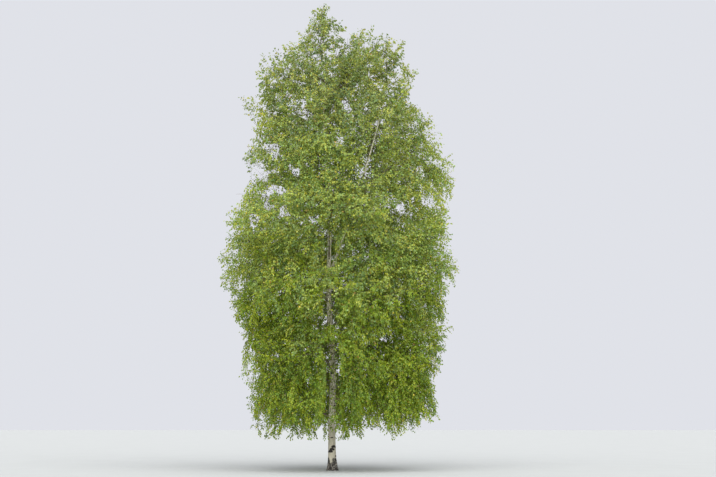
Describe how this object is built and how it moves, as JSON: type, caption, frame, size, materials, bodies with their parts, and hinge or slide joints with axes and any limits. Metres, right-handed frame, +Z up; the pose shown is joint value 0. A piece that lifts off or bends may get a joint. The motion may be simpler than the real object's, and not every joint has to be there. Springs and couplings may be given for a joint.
{
  "type": "silver birch tree",
  "caption": "Silver birch tree with a slender white trunk, a second leader, arching boughs and a tall loose crown of hanging green sprays.",
  "frame": {"origin": "middle of the flat cut under the trunk, at ground level", "axes": "+Z up, +X towards the side that the second leader leans to, +Y away from someone who sees it lean to the right"},
  "size_m": [8.2655, 7.4842, 17.1],
  "materials": {
    "white_bark": "matte",
    "bough_bark": "matte",
    "leaves": "satin"
  },
  "bodies": {
    "root": {"trunk": "white_bark", "second_leader": "white_bark", "bough_01": "bough_bark", "bough_02": "bough_bark", "bough_03": "bough_bark", "bough_04": "bough_bark", "bough_05": "bough_bark", "bough_06": "bough_bark", "bough_07": "bough_bark", "bough_08": "bough_bark", "bough_09": "bough_bark", "bough_10": "bough_bark", "bough_11": "bough_bark", "bough_12": "bough_bark", "bough_13": "bough_bark", "bough_14": "bough_bark", "bough_15": "bough_bark", "leader_bough_1": "bough_bark", "leader_bough_2": "bough_bark", "leader_bough_3": "bough_bark", "foliage_01": "leaves", "foliage_02": "leaves", "foliage_03": "leaves", "foliage_04": "leaves", "foliage_05": "leaves", "foliage_06": "leaves", "foliage_07": "leaves", "foliage_08": "leaves", "foliage_09": "leaves", "foliage_10": "leaves", "foliage_11": "leaves", "foliage_12": "leaves", "foliage_13": "leaves", "foliage_14": "leaves", "foliage_15": "leaves", "leader_foliage_1": "leaves", "leader_foliage_2": "leaves", "leader_foliage_3": "leaves", "leader_foliage_4": "leaves", "leader_foliage_5": "leaves", "leader_foliage_6": "leaves", "leader_foliage_7": "leaves", "leader_foliage_8": "leaves", "upper_foliage_01": "leaves", "upper_foliage_02": "leaves", "upper_foliage_03": "leaves", "upper_foliage_04": "leaves", "upper_foliage_05": "leaves", "upper_foliage_06": "leaves", "upper_foliage_07": "leaves", "upper_foliage_08": "leaves", "upper_foliage_09": "leaves", "upper_foliage_10": "leaves", "upper_foliage_11": "leaves", "upper_foliage_12": "leaves", "upper_foliage_13": "leaves", "trunk_tip_foliage": "leaves", "leader_tip_foliage": "leaves"}
  },
  "joints": []
}
